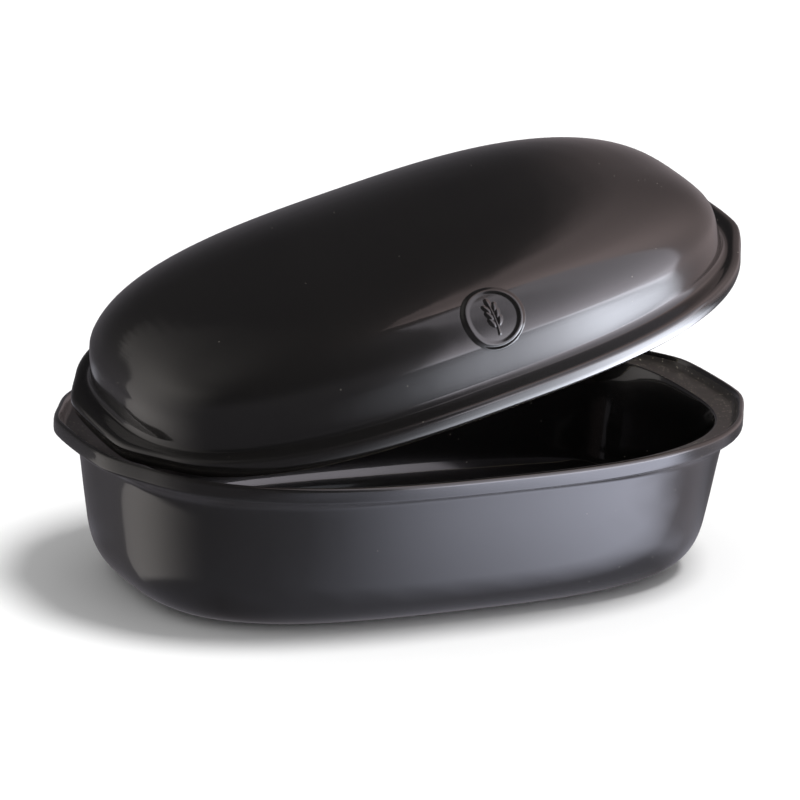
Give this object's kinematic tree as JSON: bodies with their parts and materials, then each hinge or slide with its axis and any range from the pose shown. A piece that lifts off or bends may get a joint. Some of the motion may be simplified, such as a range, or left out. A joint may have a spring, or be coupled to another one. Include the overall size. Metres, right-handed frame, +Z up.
{
  "type": "bread cloche",
  "caption": "Oval two-part ceramic bread cloche: a deep base with a recessed ledge and end wings, and a domed lid that tips up from one end.",
  "frame": {"origin": "centre of the base's footprint, on the surface it stands on", "axes": "+X along the length, from the end where the lid rests to the end where it is lifted; the front, with the raised disc, faces -Y; +Z up"},
  "size_m": [0.34, 0.21, 0.1949],
  "materials": {
    "base_glaze": "gloss charcoal glaze over pale clay, bare at the foot ring",
    "lid_glaze": "gloss charcoal glaze over pale clay, bare at the lid's bottom edge"
  },
  "bodies": {
    "base": {"base_dish": "base_glaze"},
    "lid": {"domed_lid": "lid_glaze"}
  },
  "joints": [
    {"name": "lid_tip", "type": "hinge", "parent": "base", "child": "lid", "pos_m": [-0.15608, -0.02844, 0.10301], "axis": [0.342, -0.9397, 0], "range_deg": [-15.6, 14]}
  ]
}
